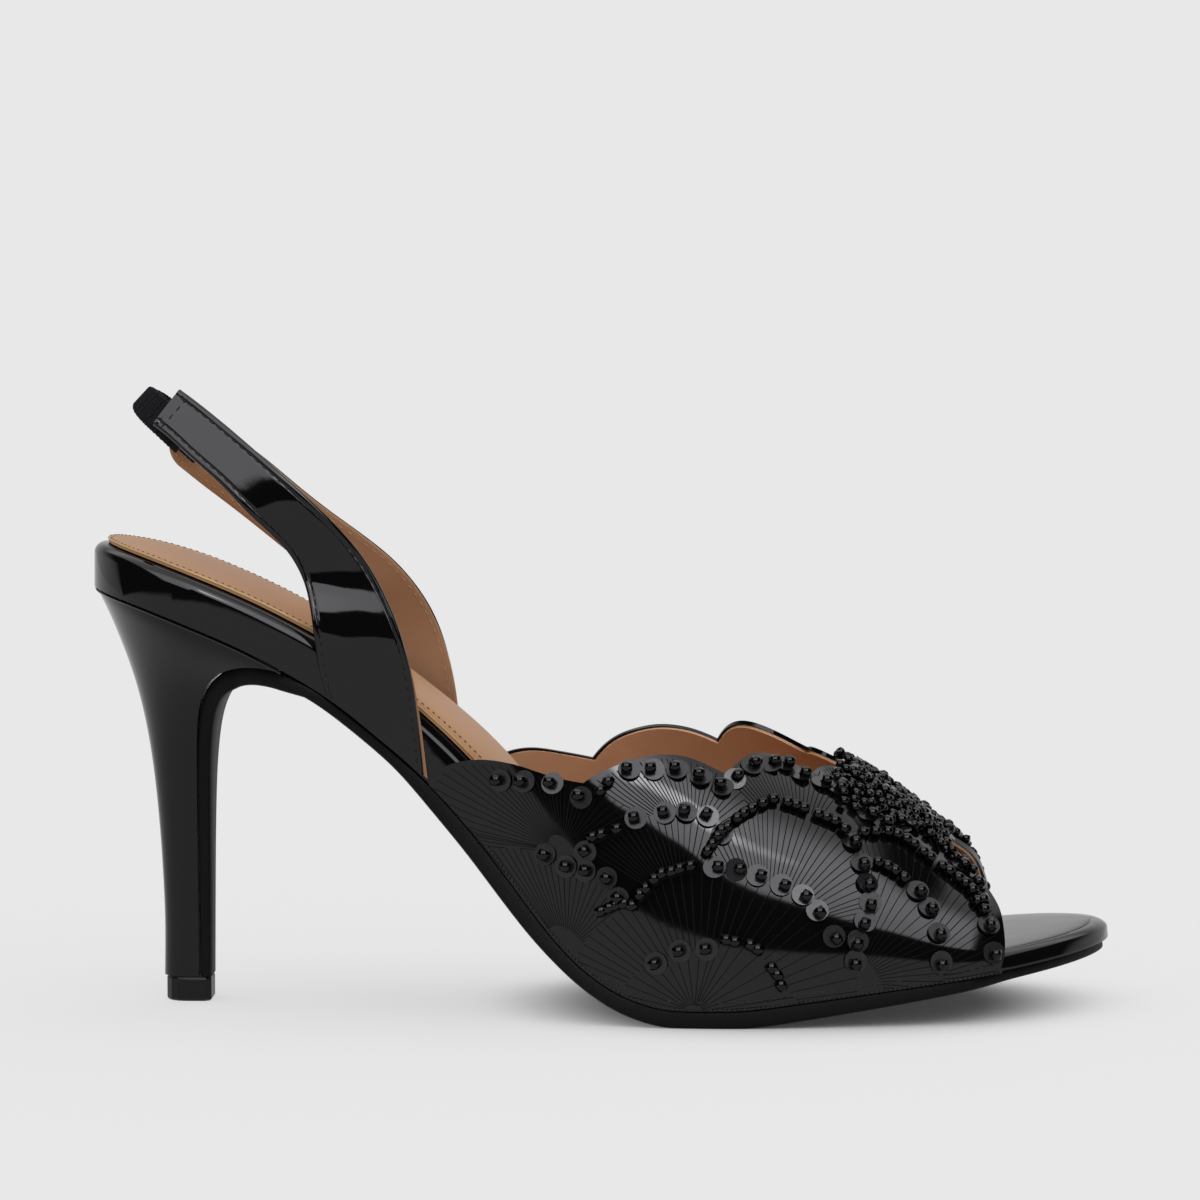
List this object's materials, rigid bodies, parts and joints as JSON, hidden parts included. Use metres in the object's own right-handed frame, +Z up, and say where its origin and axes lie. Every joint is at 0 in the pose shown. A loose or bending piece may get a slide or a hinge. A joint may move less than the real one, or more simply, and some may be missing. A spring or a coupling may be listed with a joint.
{
  "type": "slingback sandal",
  "caption": "Peep-toe slingback sandal with a slim high heel, scalloped vamp, patent footbed rim, padded sock and an elastic sling, right foot, stands on heel tip and forefoot.",
  "frame": {"origin": "middle of the heel tip's bottom face, on the floor", "axes": "+X from the heel towards the toe, +Y towards the inner side of the foot, +Z up"},
  "size_m": [0.2182, 0.0798, 0.1333],
  "materials": {
    "sole_matte": "matte black",
    "heel_patent": "high gloss black",
    "tip_matte": "satin black",
    "rand_patent": "black patent",
    "sock_leather": "tan, soft sheen",
    "vamp_patent": "black patent with engraved fan lines",
    "strap_patent": "black patent",
    "sling_elastic": "gathered black elastic"
  },
  "bodies": {
    "root": {"outsole": "sole_matte", "heel": "heel_patent", "top_piece": "tip_matte", "footbed": "rand_patent", "sock": "sock_leather", "vamp": "vamp_patent", "strap_outer": "strap_patent", "strap_inner": "strap_patent", "elastic": "sling_elastic"}
  },
  "joints": []
}
